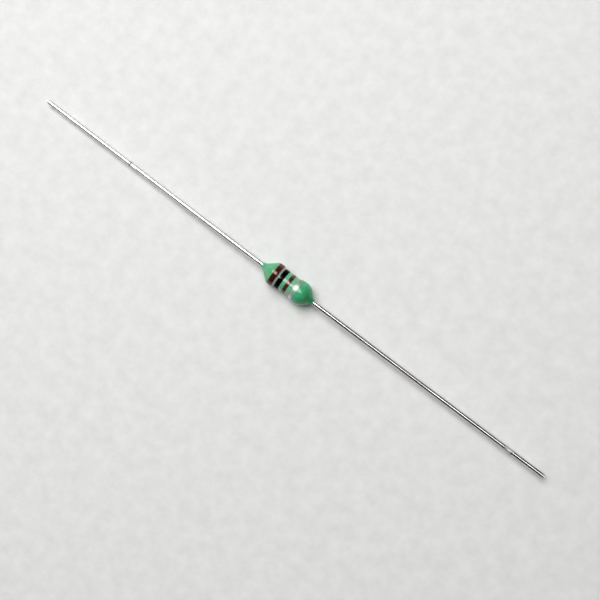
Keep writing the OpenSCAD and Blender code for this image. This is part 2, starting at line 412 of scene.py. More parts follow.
def green_resin():
    material, tree, shader = new_material(
        "green resin", IOR=1.5, Specular_IOR_Level=0.5, Coat_Weight=0.15, Coat_Roughness=0.08,
        Subsurface_Weight=0.12, Subsurface_Scale=0.25 * MM, Subsurface_Radius=(0.3, 1.0, 0.5))
    skin = use_group(tree, UNEVEN_SKIN, Lump_size=0.8 * MM, Grain_size=0.12 * MM)
    specks = use_group(tree, SPECKS, Spacing=0.45 * MM, Size=0.07)["Specks"]
    x, _, _ = object_place(tree)
    along = spread(tree, x, 0.0, 1.0, -LEFT_EXIT, RIGHT_EXIT)
    green = ramp(tree, along, *[(share(place), colour) for place, colour in GREEN_STOPS])
    from_gap = calc(tree, "ABSOLUTE", calc(tree, "SUBTRACT", x, PALE_AT))
    pale_band = spread(tree, from_gap, PALE_STRENGTH, 0.0, PALE_FULL, PALE_GONE)
    green = blend(tree, pale_band, green, PALE_GREEN)
    shade = calc(tree, "SUBTRACT", spread(tree, skin["Lumps"], *SHADES),
                 calc(tree, "MULTIPLY", specks, SPECK_SHADE))
    shaded = add(tree, "ShaderNodeVectorMath", {"Vector": green, "Scale": shade},
                 operation="SCALE")
    set_colour(tree, shader, shaded.outputs["Vector"])
    set_roughness(tree, shader, skin["Grain"], 0.08, 0.16)
    fine = calc(tree, "MULTIPLY", skin["Grain"], PEEL_GRAIN)
    bump(tree, shader, calc(tree, "ADD", skin["Lumps"], fine), PEEL_DEPTH)
    return material


MATERIALS["green"] = green_resin()
print("material:", MATERIALS["green"].name)

# %% [markdown]
# ## Band paint
#
# The rings are printed with a roller while the part turns. The paint is opaque but thin, so
# its colour breaks up a little. The multiplier ring is thinner than the first one and looks
# paler. On brown pigment the gloss itself looks reddish, and the shader's specular tint gives
# that. The black ring has a small bite out of its left edge, on top. It could be cut into the
# mesh, but paint this thin has no depth to see, so a diamond-shaped mask shows the paler
# green of the first gap there instead.

# %% A bite out of the black ring
CHIP_AT = (-0.93 * MM, 0.06 * MM)
CHIP_SIZE = (0.18 * MM, 0.11 * MM)
CHIP_RIM = (0.8, 1.1)


def chipped(tree, paint):
    """Leaves a small bite out of the ring's edge, on top, where the paler green shows."""
    x, y, z = object_place(tree)
    beside = [calc(tree, "DIVIDE", calc(tree, "SUBTRACT", place, middle), half)
              for place, middle, half in zip((x, y), CHIP_AT, CHIP_SIZE)]
    away = calc(tree, "ADD", *[calc(tree, "ABSOLUTE", part) for part in beside])
    bite = calc(tree, "MULTIPLY", spread(tree, away, 1.0, 0.0, *CHIP_RIM),
                calc(tree, "GREATER_THAN", z, AXIS_H))
    return blend(tree, bite, paint, PALE_GREEN)


print("bite at", [round(v / MM, 2) for v in CHIP_AT], "mm")

# %% Materials: brown, thin brown and black paint
BROWN = ((0.034, 0.004, 0.001), (0.062, 0.009, 0.002))
THIN_BROWN = ((0.045, 0.012, 0.005), (0.075, 0.022, 0.010))
BLACK = ((0.0006, 0.0006, 0.0010), (0.0018, 0.0018, 0.0028))
REDDISH_GLOSS = (1.0, 0.6, 0.5, 1.0)
PALER_GLOSS = (1.0, 0.80, 0.74, 1.0)
WHITE_GLOSS = (1.0, 1.0, 1.0, 1.0)


def band_paint(name, tones, gloss, shine=0.8, ior=1.5, damage=None):
    """Pigment in lacquer. damage may change the colour in some place."""
    material, tree, shader = new_material(name, IOR=ior, Specular_IOR_Level=shine,
                                          Specular_Tint=gloss)
    skin = use_group(tree, UNEVEN_SKIN, Lump_size=0.3 * MM, Grain_size=0.05 * MM)
    paint = two_tone(tree, skin["Lumps"], tones, 0.35, 0.65)
    set_colour(tree, shader, damage(tree, paint) if damage else paint)
    set_roughness(tree, shader, skin["Grain"], 0.08, 0.18)
    bump(tree, shader, skin["Lumps"], 0.010 * MM)
    return material


MATERIALS["brown"] = band_paint("brown paint", BROWN, REDDISH_GLOSS)
MATERIALS["thin_brown"] = band_paint("thin brown paint", THIN_BROWN, PALER_GLOSS, ior=1.6)
MATERIALS["black"] = band_paint("black paint", BLACK, WHITE_GLOSS, shine=0.03, damage=chipped)
print("paints:", ", ".join(MATERIALS[key].name for key in ("brown", "thin_brown", "black")))

# %% [markdown]
# ## Silver paint
#
# The tolerance ring is lacquer full of metal flakes, too small to model one by one, so the
# group of specks stands for them. In a few spots the lacquer is thin, with fewer flakes, and
# looks darker and greener. The back of the ring is made darker and greener too: that is a
# painted dark reflection, of the dark room that the metal faces there. One mask holds both,
# and the colour and the metallic value follow it.

# %% Material: silver paint
SILVER = ((0.62, 0.63, 0.62), (0.88, 0.88, 0.87))
# This dark green stands for thin paint in spots and, at the back, for a painted dark reflection.
SILVER_THIN_AND_SHADED = (0.070, 0.170, 0.110)
BACK_FROM = 0.55 * MM
BACK_TO = 0.80 * MM
BACK_SHADE_COVER = (0.95, 0.25)
SPOT_LUMPS = (0.36, 0.50)
SPOT_COVER = (0.62, 0.97)
FULL_METAL = 0.78
FLAKE_SHINE = 0.4
FLAKE_HEIGHT = 0.3


def silver_paint():
    material, tree, shader = new_material("silver paint", IOR=1.5)
    skin = use_group(tree, UNEVEN_SKIN, Lump_size=0.45 * MM, Grain_size=0.02 * MM)
    flakes = use_group(tree, SPECKS, Spacing=0.05 * MM, Size=0.45)["Specks"]
    _, y, _ = object_place(tree)
    # Painted dark reflection: the back of the ring is made darker and greener.
    painted_dark_back = spread(tree, y, *BACK_SHADE_COVER, BACK_FROM, BACK_TO)
    in_spots = spread(tree, skin["Lumps"], *SPOT_COVER, *SPOT_LUMPS)
    cover = calc(tree, "MINIMUM", painted_dark_back, in_spots)
    metal = blend(tree, calc(tree, "MULTIPLY", flakes, FLAKE_SHINE), *SILVER)
    set_colour(tree, shader, blend(tree, cover, SILVER_THIN_AND_SHADED, metal))
    tree.links.new(calc(tree, "MULTIPLY", cover, FULL_METAL), shader.inputs["Metallic"])
    set_roughness(tree, shader, skin["Grain"], 0.26, 0.36)
    raised = calc(tree, "MULTIPLY", flakes, FLAKE_HEIGHT)
    bump(tree, shader, calc(tree, "ADD", skin["Lumps"], raised), 0.008 * MM)
    return material


MATERIALS["silver"] = silver_paint()
print("material:", MATERIALS["silver"].name)

# %% [markdown]
# ## Tinned wire
#
# Tinned wire is bright but not a mirror: it was drawn through a die, which leaves lines, and
# the tin has a slight haze. The flats that jaws pressed into it are duller. The nicks beside
# them are painted dark, as painted shade: on both flanks of the left lead, less on its crown,
# and on the front flank of the right one. An image could hold such places. Here the path of
# each lead carries two marks from point to point, and the material reads them as attributes.

# %% Material: tinned wire
TIN = ((0.66, 0.66, 0.66), (0.84, 0.84, 0.83))
# The dark colour of the nicks is painted shade.
NICK_SHADE = (0.035, 0.03, 0.028)
CROWN_SHADE = 0.35
FLANK_SHADE = 0.80
CROWN_TO_FLANK = (0.05 * MM, 0.14 * MM)
BACK_FLANK_SHADE = 0.15
FRONT_TO_BACK = (-0.05 * MM, 0.03 * MM)
PRESSED_ROUGHNESS = 0.45


def attribute(tree, name):
    return add(tree, "ShaderNodeAttribute", attribute_name=name).outputs["Fac"]


def painted_shade_mask(tree):
    """How dark a nick is painted, as painted shade, from its place across the wire."""
    x, y, _ = object_place(tree)
    both_flanks = spread(tree, calc(tree, "ABSOLUTE", y), CROWN_SHADE, FLANK_SHADE,
                         *CROWN_TO_FLANK)
    one_flank = spread(tree, y, 1.0, BACK_FLANK_SHADE, *FRONT_TO_BACK)
    right_lead = calc(tree, "GREATER_THAN", x, 0.0)
    held = blend(tree, right_lead, both_flanks, one_flank)
    return calc(tree, "MULTIPLY", attribute(tree, "nick"), held)


def tinned_wire():
    material, tree, shader = new_material("tinned wire", Metallic=1.0)
    drawn = use_group(tree, DRAWN_LINES, Line_width=0.035 * MM, Line_length=4 * MM)
    tin = two_tone(tree, drawn["Haze"], TIN)
    set_colour(tree, shader, blend(tree, painted_shade_mask(tree), tin, NICK_SHADE))
    gloss = spread(tree, drawn["Lines"], 0.12, 0.20)
    dull = calc(tree, "MULTIPLY", attribute(tree, "pressed"), PRESSED_ROUGHNESS)
    tree.links.new(calc(tree, "MAXIMUM", gloss, dull), shader.inputs["Roughness"])
    bump(tree, shader, drawn["Lines"], 0.0015 * MM)
    return material


MATERIALS["tin"] = tinned_wire()
print("material:", MATERIALS["tin"].name)

# %% [markdown]
# ## The hidden pieces
#
# Solder is much like the tin on the leads, but it froze from liquid, so it has lumps and no
# lines. Enamelled copper is metal under a clear brown film. Ferrite is a dark sintered
# ceramic with paler grains, and the glue that holds the leads is amber. The resin hides them
# all, so they use the same groups as the outside, each with its own values.

# %% Materials: solder and enamelled copper
SOLDER = ((0.45, 0.45, 0.47), (0.68, 0.68, 0.70))
COPPER = ((0.34, 0.09, 0.02), (0.62, 0.22, 0.07))


def solder_metal():
    material, tree, shader = new_material("solder", Metallic=1.0)
    skin = use_group(tree, UNEVEN_SKIN, Lump_size=0.25 * MM, Grain_size=0.04 * MM)
    set_colour(tree, shader, two_tone(tree, skin["Lumps"], SOLDER))
    set_roughness(tree, shader, skin["Grain"], 0.18, 0.42)
    bump(tree, shader, skin["Lumps"], 0.02 * MM)
    return material


def enamelled_copper():
    material, tree, shader = new_material(
        "enamelled copper", Metallic=1.0, Coat_Weight=0.8, Coat_Roughness=0.1)
    drawn = use_group(tree, DRAWN_LINES, Line_width=0.05 * MM, Line_length=0.4 * MM)
    set_colour(tree, shader, two_tone(tree, drawn["Haze"], COPPER))
    set_roughness(tree, shader, drawn["Lines"], 0.18, 0.34)
    return material


MATERIALS["solder"] = solder_metal()
MATERIALS["copper"] = enamelled_copper()
print("metals:", ", ".join(MATERIALS[key].name for key in ("solder", "copper")))

# %% Materials: ferrite and glue
FERRITE = ((0.020, 0.018, 0.018), (0.042, 0.038, 0.037))
FERRITE_GRAIN = (0.10, 0.095, 0.09)
GRAIN_COVER = 0.5
GLUE = ((0.40, 0.24, 0.06), (0.62, 0.42, 0.15))


def ferrite():
    material, tree, shader = new_material("ferrite", IOR=1.7)
    skin = use_group(tree, UNEVEN_SKIN, Lump_size=0.4 * MM, Grain_size=0.03 * MM)
    grains = use_group(tree, SPECKS, Spacing=0.08 * MM, Size=0.25)["Specks"]
    base = two_tone(tree, skin["Lumps"], FERRITE)
    cover = calc(tree, "MULTIPLY", grains, GRAIN_COVER)
    set_colour(tree, shader, blend(tree, cover, base, FERRITE_GRAIN))
    set_roughness(tree, shader, skin["Grain"], 0.45, 0.75)
    bump(tree, shader, skin["Grain"], 0.01 * MM)
    return material


def core_glue():
    material, tree, shader = new_material("core glue", IOR=1.55, Coat_Weight=0.4)
    skin = use_group(tree, UNEVEN_SKIN, Lump_size=0.2 * MM, Grain_size=0.04 * MM)
    set_colour(tree, shader, two_tone(tree, skin["Lumps"], GLUE))
    set_roughness(tree, shader, skin["Grain"], 0.12, 0.28)
    bump(tree, shader, skin["Lumps"], 0.01 * MM)
    return material


MATERIALS["ferrite"] = ferrite()
MATERIALS["glue"] = core_glue()
print("materials:", ", ".join(MATERIALS))

# %% [markdown]
# ## A tree that turns a section
#
# The coat and the paint rings are turned forms: one section, carried round the axis. Spin in
# the modelling tools would do it by hand. A Geometry Nodes lathe does it from numbers: a grid
# has one column for each point of the section and one row for each step of the turn, and each
# grid point looks up its section point and moves there. A slow noise then draws the skin in
# by a hundredth of a millimetre or two, because resin never sets perfectly round.

# %% Geometry Nodes: the lathe's grid and how it looks up the section
SECTION_MARKS = ("skin", "edge")


def lathe_grid(tree, section, steps):
    """A grid, and the column and the row that each of its points is in."""
    count = add(tree, "GeometryNodeAttributeDomainSize", {"Geometry": section})
    rows = calc(tree, "ADD", steps, 1)
    grid = add(tree, "GeometryNodeMeshGrid",
               {"Vertices X": count.outputs["Point Count"], "Vertices Y": rows})
    index = add(tree, "GeometryNodeInputIndex").outputs[0]
    column = calc(tree, "FLOOR", calc(tree, "DIVIDE", calc(tree, "ADD", index, 0.5), rows))
    row = calc(tree, "SUBTRACT", index, calc(tree, "MULTIPLY", column, rows))
    return grid.outputs["Mesh"], column, row


def look_up(tree, section, column, value, kind):
    """What a value is at the section's point of this column."""
    return add(tree, "GeometryNodeSampleIndex",
               {"Geometry": section, "Value": value, "Index": column},
               data_type=kind).outputs[0]


def look_up_mark(tree, section, column, name):
    mark = add(tree, "GeometryNodeInputNamedAttribute", {"Name": name}, data_type="FLOAT")
    return look_up(tree, section, column, mark.outputs["Attribute"], "FLOAT")


print("marks of a section's points:", ", ".join(SECTION_MARKS))


# %% Geometry Nodes: the lathe
LUMP_DETAIL = 1.0
WAVER_SIZE = 0.35 * MM
WAVER_DETAIL = 2.0
WELD = 0.0001 * MM


def masked_noise(tree, where, scale, detail, mask, depth):
    """A noise times the mask that says where it acts and the depth it may reach."""
    noise = add(tree, "ShaderNodeTexNoise",
                {"Vector": where, "Scale": scale, "Detail": detail})
    return calc(tree, "MULTIPLY", calc(tree, "MULTIPLY", noise.outputs["Fac"], mask), depth)


def build_lathe():
    tree, source, result = new_tree(
        "Lathe", "GeometryNodeTree",
        [("Section", "NodeSocketGeometry"), ("Steps", "NodeSocketInt", 160),
         ("Axis height", "NodeSocketFloat", AXIS_H), ("Unevenness", "NodeSocketFloat", 0.0),
         ("Lump size", "NodeSocketFloat", 1.2 * MM), ("Edge waver", "NodeSocketFloat", 0.0),
         ("Material", "NodeSocketMaterial")],
        [("Piece", "NodeSocketGeometry")])
    given = source.outputs
    section = given["Section"]
    grid, column, row = lathe_grid(tree, section, given["Steps"])
    position = add(tree, "GeometryNodeInputPosition").outputs[0]
    skin, edge = [look_up_mark(tree, section, column, name) for name in SECTION_MARKS]
    x, radius, _ = split(tree, look_up(tree, section, column, position, "FLOAT_VECTOR"))
    angle = calc(tree, "DIVIDE", calc(tree, "MULTIPLY", row, math.tau), given["Steps"])
    turn = [calc(tree, "SINE", angle), calc(tree, "COSINE", angle)]
    round_place = vector(tree, x, *[calc(tree, "MULTIPLY", radius, t) for t in turn])
    fineness = calc(tree, "DIVIDE", 1.0, given["Lump size"])
    drawn_in = masked_noise(tree, round_place, fineness, LUMP_DETAIL, skin,
                            given["Unevenness"])
    shift = masked_noise(tree, round_place, 1.0 / WAVER_SIZE, WAVER_DETAIL, edge,
                         given["Edge waver"])
    new_x = calc(tree, "SUBTRACT", x, shift)
    new_radius = calc(tree, "SUBTRACT", radius, drawn_in)
    y, z = [calc(tree, "MULTIPLY", new_radius, t) for t in turn]
    new_place = vector(tree, new_x, y, calc(tree, "ADD", z, given["Axis height"]))
    moved = add(tree, "GeometryNodeSetPosition", {"Geometry": grid, "Position": new_place})
    closed = add(tree, "GeometryNodeMergeByDistance",
                 {"Geometry": moved.outputs[0], "Distance": WELD})
    end_tree(tree, closed.outputs[0], given["Material"], result)
    return tree


LATHE = build_lathe()
print("tree:", LATHE.name, "with", len(LATHE.nodes), "nodes")


# %% A section as a seed mesh
def section_mesh(name, rows):
    """A section's points as loose vertices. Each row is (x, radius, skin, edge)."""
    mesh = bpy.data.meshes.new(name)
    mesh.from_pydata([(row[0], row[1], 0.0) for row in rows], [], [])
    for place, mark in enumerate(SECTION_MARKS):
        layer = mesh.attributes.new(mark, "FLOAT", "POINT")
        for i, row in enumerate(rows):
            layer.data[i].value = row[2 + place]
    return mesh


print("a section's row: x, radius,", ", ".join(SECTION_MARKS))

# %% [markdown]
# ## The resin coat
#
# The coat could be sculpted or pulled from a few rings under a Subdivision Surface, but a few
# sizes say exactly the same. Each end of the outline is four arcs: the neck that runs out on
# to the lead, the shoulder of the bulb, the bulb's inner edge, and the hollow that runs into
# the waist. The left bulb is long and lean, because the resin ran off it; the right bulb is
# round and full.

# %% Outline of one end of the coat
ARC_STEPS = 20
SAME_PLACE = 0.001 * MM
LIP_R = 0.28 * MM
ENDS = {
    "left": dict(exit_at=LEFT_EXIT, slope=math.radians(40), neck_l=0.19 * MM,
                 shoulder_r=0.25 * MM, bulb_l=0.55 * MM, fall_l=0.35 * MM),
    "right": dict(exit_at=RIGHT_EXIT, slope=math.radians(45), neck_l=0.15 * MM,
                  shoulder_r=1.2 * MM, bulb_l=0.40 * MM, fall_l=0.80 * MM),
}


def arc(centre, radius, start, end):
    """Points on an arc round a centre, from one angle to another."""
    turns = [start + (end - start) * i / ARC_STEPS for i in range(ARC_STEPS + 1)]
    return [(centre[0] + radius * math.cos(a), centre[1] + radius * math.sin(a)) for a in turns]


def end_outline(exit_at, slope, neck_l, shoulder_r, bulb_l, fall_l):
    """Points (outwards, radius) from the lead in to the waist."""
    knee = exit_at - neck_l
    neck_r = neck_l / math.tan(slope / 2)
    crest_end = knee - (CREST_R - LIP_R) / math.tan(slope)
    shoulder_at = crest_end - shoulder_r * math.tan(slope / 2)
    fall_h = CREST_R - WAIST_R
    fall_r = (fall_l ** 2 + fall_h ** 2) / (4 * fall_h)
    fall_turn = math.asin(fall_l / (2 * fall_r))
    fall_at = CORE_END - bulb_l
    quarter = math.pi / 2
    return (arc((exit_at, LIP_R + neck_r), neck_r, 3 * quarter, 3 * quarter - slope)
            + arc((shoulder_at, CREST_R - shoulder_r), shoulder_r, quarter - slope, quarter)
            + arc((fall_at, CREST_R - fall_r), fall_r, quarter, quarter + fall_turn)
            + arc((fall_at - fall_l, WAIST_R + fall_r), fall_r,
                  3 * quarter + fall_turn, 3 * quarter))


def without_repeats(points):
    """Leaves out each point that is where the one before it is."""
    kept = [points[0]]
    for point in points[1:]:
        if math.dist(point, kept[-1]) > SAME_PLACE:
            kept.append(point)
    return kept


def whole_outline():
    """The outline along x, from the left lead to the right lead."""
    left = [(-x, r) for x, r in end_outline(**ENDS["left"])]
    return without_repeats(left + end_outline(**ENDS["right"])[::-1])


OUTLINE = whole_outline()
print("outline points:", len(OUTLINE))

# %% [markdown]
# ## The space inside the coat
#
# The resin closes around the leads, the solder cones, the flanges and the coil. A shallow
# pocket in front of each flange leaves room for the wire end that runs down its face. A
# Boolean could cut this space out of a solid. A lathe has an easier way: the section goes on
# round the space, and the coat comes out as a closed shell.

# %% Section of the coat
SOLDER_R = 0.42 * MM
SOLDER_BORE_R = 0.35 * MM
SOLDER_START = 2.09 * MM
WRAPS_END = 2.40 * MM
SOLDER_END = 2.56 * MM
POCKET_END = CORE_END + 0.11 * MM
POCKET_R = 0.84 * MM
EDGE_STEP = 0.1 * MM
SKIN_FADE = 0.3 * MM


def evenly(points):
    """Adds points so that no stretch is longer than EDGE_STEP."""
    rows = [points[0]]
    for (x0, r0), (x1, r1) in zip(points, points[1:]):
        parts = max(1, math.ceil(math.hypot(x1 - x0, r1 - r0) / EDGE_STEP))
        rows += [(x0 + (x1 - x0) * i / parts, r0 + (r1 - r0) * i / parts)
                 for i in range(1, parts + 1)]
    return rows


def coat_section():
    """The outline, then the inside from the right exit back to the left one."""
    inside = [(SOLDER_END, LEAD_R), (WRAPS_END, SOLDER_R), (SOLDER_START, SOLDER_R),
              (SOLDER_START, SOLDER_BORE_R), (POCKET_END, SOLDER_BORE_R),
              (POCKET_END, POCKET_R), (CORE_END, POCKET_R), (CORE_END, FLANGE_R),
              (FLANGE_INNER, FLANGE_R), (FLANGE_INNER, COIL_R)]
    rows = [(x, r, min(1.0, (r - LIP_R) / SKIN_FADE), 0.0) for x, r in evenly(OUTLINE)]
    rows += [(RIGHT_EXIT, LEAD_R, 0.0, 0.0)]
    rows += [(x, r, 0.0, 0.0) for x, r in inside]
    rows += [(-x, r, 0.0, 0.0) for x, r in inside[::-1]]
    rows += [(-LEFT_EXIT, LEAD_R, 0.0, 0.0)]
    return [rows[-1]] + rows


print("section points:", len(coat_section()))

# %% Turn the coat
ROUND_STEPS = 192
COAT_UNEVENNESS = 0.03 * MM
resin_coat = make_piece("resin_coat", section_mesh("coat section", coat_section()), LATHE,
                        {"Steps": ROUND_STEPS, "Unevenness": COAT_UNEVENNESS,
                         "Material": MATERIALS["green"]})

# %% [markdown]
# ## The painted rings
#
# A ring could be a band of colour in the resin's material, but real paint has a raised edge
# that catches the light, so each ring is a thin piece of its own. It is the coat's own outline
# between two places, raised by the thickness of the paint, with its edges rounded down. Its
# inner side is sunk a little into the resin, so that no gap shows where the resin is uneven.
# Printed edges are never quite straight, so both waver.

# %% Section of a painted ring
PAINT_SUNK = 0.03 * MM
PAINT_EDGE = ((0.0, 0.0), (0.004 * MM, 0.45), (0.012 * MM, 0.75),
              (0.03 * MM, 0.94), (0.06 * MM, 1.0))
PAINT_PARTS = 12
WAVER_REACH = 0.12 * MM


def radius_at(x):
    """How far the coat reaches from the axis at this place."""
    for (x0, r0), (x1, r1) in zip(OUTLINE, OUTLINE[1:]):
        if x0 <= x <= x1 and x1 > x0:
            return r0 + (r1 - r0) * (x - x0) / (x1 - x0)
    raise ValueError(x)


def ring_section(start, width):
    """From edge to edge over the paint, then back below it.

    PAINT_EDGE rounds both edges: how far in a point is, and its share of the thickness.
    """
    end = start + width
    edge_w = PAINT_EDGE[-1][0]
    inner = [start + edge_w + (width - 2 * edge_w) * i / PAINT_PARTS
             for i in range(1, PAINT_PARTS)]
    places = ([(start + w, t) for w, t in PAINT_EDGE] + [(x, 1.0) for x in inner]
              + [(end - w, t) for w, t in PAINT_EDGE[::-1]])
    rows = []
    for x, thick in places:
        side = 1.0 if x < start + width / 2 else -1.0
        near = max(0.0, 1.0 - min(x - start, end - x) / WAVER_REACH)
        rows.append((x, radius_at(x) + PAINT_T * thick, 1.0, side * near))
    low = [(end, -1.0), (start + width / 2, 0.0), (start, 1.0)]
    rows += [(x, radius_at(x) - PAINT_SUNK, 1.0, edge) for x, edge in low]
    return rows + [rows[0]]


print(f"the paint's rounded edge is {PAINT_EDGE[-1][0] / MM:.2f} mm wide")

# %% Turn the rings
EDGE_WAVER = 0.05 * MM
RINGS = {
    "ring_first": dict(node="band_first", paint="brown", start=-1.68 * MM, width=0.48 * MM),
    "ring_second": dict(node="band_second", paint="black", start=-0.94 * MM, width=0.48 * MM),
    "ring_multiplier": dict(node="band_multiplier", paint="thin_brown", start=-0.02 * MM,
                            width=0.36 * MM),
    "ring_tolerance": dict(node="band_tolerance", paint="silver", start=0.88 * MM,
                           width=0.34 * MM),
}
rings = {}
for name, facts in RINGS.items():
    section = section_mesh(name + " section", ring_section(facts["start"], facts["width"]))
    rings[name] = make_piece(name, section, LATHE,
                             {"Steps": ROUND_STEPS, "Unevenness": COAT_UNEVENNESS,
                              "Edge waver": EDGE_WAVER, "Material": MATERIALS[facts["paint"]]})

# %% [markdown]
# ## A tree that follows a path
#
# The leads and the thin winding wire are round stock that follows a path. A curve object with
# a bevel would do for an even wire, but not for one that jaws have pressed. Here a path is a
# chain of points; Mesh to Curve makes it a curve and Curve to Mesh carries a round section
# along it. Each path point may also say how thick the wire is there, and how far up, down and
# sideways it may reach: that is how the flats and nicks are made.

# %% Geometry Nodes: helpers of the wire
def own_mark(tree, name):
    """What the path's point says under this name."""
    return add(tree, "GeometryNodeInputNamedAttribute", {"Name": name},
               data_type="FLOAT").outputs["Attribute"]


def kept_within(tree, value, centre, low, high):
    """A place held between low below the centre and high above it."""
    away = calc(tree, "SUBTRACT", value, centre)
    away = calc(tree, "MINIMUM", away, high)
    away = calc(tree, "MAXIMUM", away, calc(tree, "MULTIPLY", low, -1.0))
    return calc(tree, "ADD", centre, away)


print("wire helpers: own_mark, kept_within")


# %% Geometry Nodes: the wire
def build_wire():
    tree, source, result = new_tree(
        "Wire", "GeometryNodeTree",
        [("Path", "NodeSocketGeometry"), ("Sides", "NodeSocketInt", 48),
         ("Radius", "NodeSocketFloat", LEAD_R), ("Material", "NodeSocketMaterial")],
        [("Piece", "NodeSocketGeometry")])
    given = source.outputs
    curve = add(tree, "GeometryNodeMeshToCurve", {"Mesh": given["Path"]})
    upright = add(tree, "GeometryNodeSetCurveNormal", {"Curve": curve.outputs[0]}, mode="Z_UP")
    girth = add(tree, "GeometryNodeSetCurveRadius",
                {"Curve": upright.outputs[0], "Radius": own_mark(tree, "girth")})
    middle = add(tree, "GeometryNodeCaptureAttribute", domain="POINT")
    middle.capture_items.new("VECTOR", "Middle")
    tree.links.new(girth.outputs[0], middle.inputs["Geometry"])
    tree.links.new(add(tree, "GeometryNodeInputPosition").outputs[0], middle.inputs["Middle"])
    circle = add(tree, "GeometryNodeCurvePrimitiveCircle",
                 {"Resolution": given["Sides"], "Radius": given["Radius"]})
    tube = add(tree, "GeometryNodeCurveToMesh",
               {"Curve": middle.outputs["Geometry"], "Profile Curve": circle.outputs[0],
                "Fill Caps": True})
    x, y, z = split(tree, add(tree, "GeometryNodeInputPosition").outputs[0])
    _, centre_y, centre_z = split(tree, middle.outputs["Middle"])
    top, under, side = [own_mark(tree, name) for name in ("top", "under", "side")]
    new_y = kept_within(tree, y, centre_y, side, side)
    new_z = kept_within(tree, z, centre_z, under, top)
    pressed = add(tree, "GeometryNodeSetPosition",
                  {"Geometry": tube.outputs[0], "Position": vector(tree, x, new_y, new_z)})
    end_tree(tree, pressed.outputs[0], given["Material"], result)
    return tree


WIRE = build_wire()
print("tree:", WIRE.name, "with", len(WIRE.nodes), "nodes")


# %% A path as a seed mesh
PATH_MARKS = ("girth", "top", "under", "side", "pressed", "nick")
FREE = 1.0
PLAIN = (1.0, FREE, FREE, FREE, 0.0, 0.0)


def path_mesh(name, *chains):
    """Chains of rows: a place and the six marks. Each chain becomes one wire."""
    mesh = bpy.data.meshes.new(name)
    rows = [row for chain in chains for row in chain]
    edges = []
    start = 0
    for chain in chains:
        edges += [(start + i, start + i + 1) for i in range(len(chain) - 1)]
        start += len(chain)
    mesh.from_pydata([row[:3] for row in rows], edges, [])
    for place, mark in enumerate(PATH_MARKS):
        layer = mesh.attributes.new(mark, "FLOAT", "POINT")
        for i, row in enumerate(rows):
            layer.data[i].value = row[3 + place]
    return mesh


print("a path's row: x, y, z,", ", ".join(PATH_MARKS))

# %% [markdown]
# ## The leads
#
# A lead starts inside the core and comes out along the body's axis. It droops a little where
# the taping machine bent it, runs straight, and rises again where jaws once gripped it. The
# jaws left a small flat above and below, and a nick where their edge bit in. A list of points
# could give the path, but its length would be hard to keep. So it is walked, as a turtle does:
# straight on, bend, straight on, until the wire is used up.

# %% Sizes of the leads
LEAD_INNER_END = 1.2 * MM
BEND_R = 12 * MM
BEND_AT = 0.4 * MM
BEND_STEPS_MIN = 4
STEPS_A_DEGREE = 3
RING_STEP = 1.0 * MM
MARK_DEPTH = 0.02 * MM
MARK_EDGE = 0.02 * MM
NICK_W = 0.12 * MM
CUT_L = 0.34 * MM
CUT_GIRTH = 0.98
CUT_WEDGE = ((0.35, 0.84), (0.35, 0.50), (0.30, 0.16))
DOWN, SIDEWAYS, UP = 0, -90, 180
print(f"bends of {BEND_R / MM:.0f} mm radius, marks {MARK_DEPTH / MM:.2f} mm deep")


# %% Walk the path of a lead
def start_frame(turned_round):
    """Z outwards along the axis and X down, for the right end or for the left one."""
    frame_right = Matrix(((0, 0, 1), (0, 1, 0), (-1, 0, 0)))
    return Matrix.Rotation(math.pi, 3, "Z") @ frame_right if turned_round else frame_right


class Walker:
    """Walks with its own Z forwards and its own X downwards."""

    def __init__(self, turned_round):
        self.frame = start_frame(turned_round)
        self.place = self.frame @ Vector((0, 0, LEAD_INNER_END)) + Vector((0, 0, AXIS_H))
        self.rows = []
        self.put()

    def put(self, girth=1.0, top=FREE, under=FREE, side=FREE, pressed=0.0, nick=0.0):
        self.rows.append((*self.place, girth, top, under, side, pressed, nick))

    def step(self, length):
        self.place = self.place + self.frame @ Vector((0, 0, length))

    def straight(self, length):
        parts = max(1, math.ceil(length / RING_STEP))
        for _ in range(parts):
            self.step(length / parts)
            self.put()

    def bend(self, degrees, heading):
        """Walks an arc towards a heading: DOWN, SIDEWAYS or UP."""
        steps = max(BEND_STEPS_MIN, math.ceil(degrees * STEPS_A_DEGREE))
        turn = Matrix.Rotation(math.radians(heading), 3, "Z")
        first_place, first_frame = self.place.copy(), self.frame.copy()
        for i in range(1, steps + 1):
            angle = math.radians(degrees) * i / steps
            offset = Vector((BEND_R * (1 - math.cos(angle)), 0, BEND_R * math.sin(angle)))
            self.place = first_place + first_frame @ turn @ offset
            self.frame = first_frame @ turn @ Matrix.Rotation(angle, 3, "Y") @ turn.transposed()
            self.put()

    def jaw_mark(self, length):
        """The stretch that jaws pressed: flats above and below, and a nick.

        Each row has its place, how far up the wire may reach, and the two marks.
        """
        flat = LEAD_R - MARK_DEPTH
        nick_at = length - NICK_W
        half = NICK_W / 2
        marks = [(half, FREE, 0, 0), (half + MARK_EDGE, flat, 1, 0), (nick_at / 2, flat, 1, 0),
                 (nick_at - half - MARK_EDGE, flat, 1, 0), (nick_at - half, flat, 1, 1),
                 (nick_at, flat - half, 1, 1), (nick_at + half, flat, 1, 1),
                 (nick_at + half + MARK_EDGE, FREE, 0, 0)]
        done = 0.0
        for at, top, pressed, nick in marks:
            self.step(at - done)
            under = FREE if top == FREE else flat
            self.put(top=top, under=under, pressed=pressed, nick=nick)
            done = at
        self.straight(length - done)

    def cut_off(self, length):
        """The last stretch. Side cutters pinched its end to a blunt wedge.

        CUT_WEDGE has each step's share of the stretch and the share of the radius left.
        """
        self.straight(length - CUT_L)
        for part, side in CUT_WEDGE:
            self.step(CUT_L * part)
            self.put(girth=CUT_GIRTH, side=LEAD_R * side)


print(f"a lead starts {LEAD_INNER_END / MM:.1f} mm from the middle of the core")

